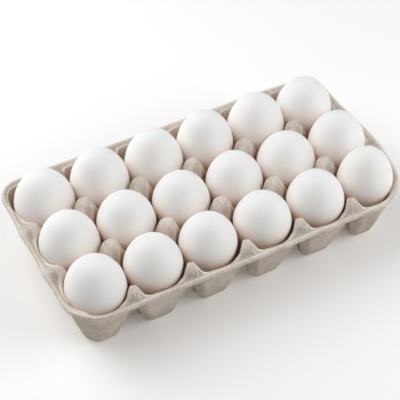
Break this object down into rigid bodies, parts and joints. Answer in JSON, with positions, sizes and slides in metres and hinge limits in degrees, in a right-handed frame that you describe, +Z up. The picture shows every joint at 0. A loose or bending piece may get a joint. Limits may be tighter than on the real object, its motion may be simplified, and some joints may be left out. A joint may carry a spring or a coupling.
{
  "type": "egg carton with eggs",
  "caption": "Open carton of moulded pulp with rows of cups on flat feet and tall cone posts between them, filled with white hen's eggs standing blunt end up.",
  "frame": {"origin": "middle of the rectangle under the rim, on the plane that the feet stand on", "axes": "+X along the six columns of cups, +Y from the front row c to the back row a, +Z up"},
  "size_m": [0.2872, 0.1524, 0.081],
  "materials": {
    "pulp": "rough fibrous pulp",
    "eggshell": "smooth, faintly satin shell"
  },
  "bodies": {
    "root": {"tray": "pulp", "egg_a1": "eggshell", "egg_a2": "eggshell", "egg_a3": "eggshell", "egg_a4": "eggshell", "egg_a5": "eggshell", "egg_a6": "eggshell", "egg_b1": "eggshell", "egg_b2": "eggshell", "egg_b3": "eggshell", "egg_b4": "eggshell", "egg_b5": "eggshell", "egg_b6": "eggshell", "egg_c1": "eggshell", "egg_c2": "eggshell", "egg_c3": "eggshell", "egg_c4": "eggshell", "egg_c5": "eggshell", "egg_c6": "eggshell"}
  },
  "joints": []
}
